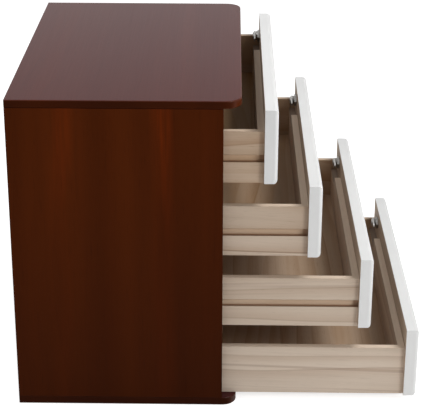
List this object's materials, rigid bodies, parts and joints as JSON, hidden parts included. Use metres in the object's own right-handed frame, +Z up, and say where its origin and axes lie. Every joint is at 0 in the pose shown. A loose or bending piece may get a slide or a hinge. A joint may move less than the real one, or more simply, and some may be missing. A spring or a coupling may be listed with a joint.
{
  "type": "desktop drawer organizer",
  "caption": "Dark stained wooden desktop chest whose white-fronted, pale wooden drawers slide on wooden runners, with a cam lock in each front.",
  "frame": {"origin": "middle of the base board's underside, on the surface that the chest stands on", "axes": "-Y towards the front that the drawers come out of, +X to the right seen from the front, +Z up; at rest the drawers are pulled out as in the picture"},
  "size_m": [0.42, 0.4696, 0.378],
  "materials": {
    "stained_wood": "dark red-brown stain, semi-gloss",
    "pale_wood": "plain pale wood, unfinished",
    "white_paint": "white satin paint on board",
    "lock_metal": "nickel plated",
    "screw_steel": "zinc plated"
  },
  "bodies": {
    "case": {"top_board": "stained_wood", "base_board": "stained_wood", "left_panel": "stained_wood", "right_panel": "stained_wood", "back_panel": "stained_wood", "left_runners": "pale_wood", "right_runners": "pale_wood", "case_dowels": "pale_wood", "back_screws": "screw_steel", "runner_screws": "screw_steel", "lock_keepers": "pale_wood", "lock_rail_1": "pale_wood", "lock_rail_2": "pale_wood", "lock_rail_3": "pale_wood", "lock_rail_4": "pale_wood"},
    "drawer_1": {"drawer_front_1": "white_paint", "inner_front_1": "pale_wood", "drawer_left_side_1": "pale_wood", "drawer_right_side_1": "pale_wood", "drawer_back_1": "pale_wood", "drawer_bottom_1": "pale_wood", "front_screws_1": "screw_steel", "lock_barrel_1": "lock_metal", "lock_nut_1": "lock_metal"},
    "lock_1": {"lock_plug_1": "lock_metal", "lock_cam_1": "lock_metal"},
    "drawer_2": {"drawer_front_2": "white_paint", "inner_front_2": "pale_wood", "drawer_left_side_2": "pale_wood", "drawer_right_side_2": "pale_wood", "drawer_back_2": "pale_wood", "drawer_bottom_2": "pale_wood", "front_screws_2": "screw_steel", "lock_barrel_2": "lock_metal", "lock_nut_2": "lock_metal"},
    "lock_2": {"lock_plug_2": "lock_metal", "lock_cam_2": "lock_metal"},
    "drawer_3": {"drawer_front_3": "white_paint", "inner_front_3": "pale_wood", "drawer_left_side_3": "pale_wood", "drawer_right_side_3": "pale_wood", "drawer_back_3": "pale_wood", "drawer_bottom_3": "pale_wood", "front_screws_3": "screw_steel", "lock_barrel_3": "lock_metal", "lock_nut_3": "lock_metal"},
    "lock_3": {"lock_plug_3": "lock_metal", "lock_cam_3": "lock_metal"},
    "drawer_4": {"drawer_front_4": "white_paint", "inner_front_4": "pale_wood", "drawer_left_side_4": "pale_wood", "drawer_right_side_4": "pale_wood", "drawer_back_4": "pale_wood", "drawer_bottom_4": "pale_wood", "front_screws_4": "screw_steel", "lock_barrel_4": "lock_metal", "lock_nut_4": "lock_metal"},
    "lock_4": {"lock_plug_4": "lock_metal", "lock_cam_4": "lock_metal"}
  },
  "joints": [
    {"name": "drawer_1_slide", "type": "slide", "parent": "case", "child": "drawer_1", "axis": [0, -1, 0], "range_m": [-0.045, 0.173]},
    {"name": "lock_1_turn", "type": "hinge", "parent": "drawer_1", "child": "lock_1", "pos_m": [0.1555, -0.15725, 0.3485], "axis": [0, 1, 0], "range_deg": [0, 90]},
    {"name": "drawer_2_slide", "type": "slide", "parent": "case", "child": "drawer_2", "axis": [0, -1, 0], "range_m": [-0.096, 0.122]},
    {"name": "lock_2_turn", "type": "hinge", "parent": "drawer_2", "child": "lock_2", "pos_m": [0.1555, -0.20825, 0.2592], "axis": [0, 1, 0], "range_deg": [0, 90]},
    {"name": "drawer_3_slide", "type": "slide", "parent": "case", "child": "drawer_3", "axis": [0, -1, 0], "range_m": [-0.157, 0.061]},
    {"name": "lock_3_turn", "type": "hinge", "parent": "drawer_3", "child": "lock_3", "pos_m": [0.1555, -0.26925, 0.1699], "axis": [0, 1, 0], "range_deg": [0, 90]},
    {"name": "drawer_4_slide", "type": "slide", "parent": "case", "child": "drawer_4", "axis": [0, -1, 0], "range_m": [-0.214, 0.004]},
    {"name": "lock_4_turn", "type": "hinge", "parent": "drawer_4", "child": "lock_4", "pos_m": [0.1555, -0.32625, 0.0806], "axis": [0, 1, 0], "range_deg": [0, 90]}
  ]
}
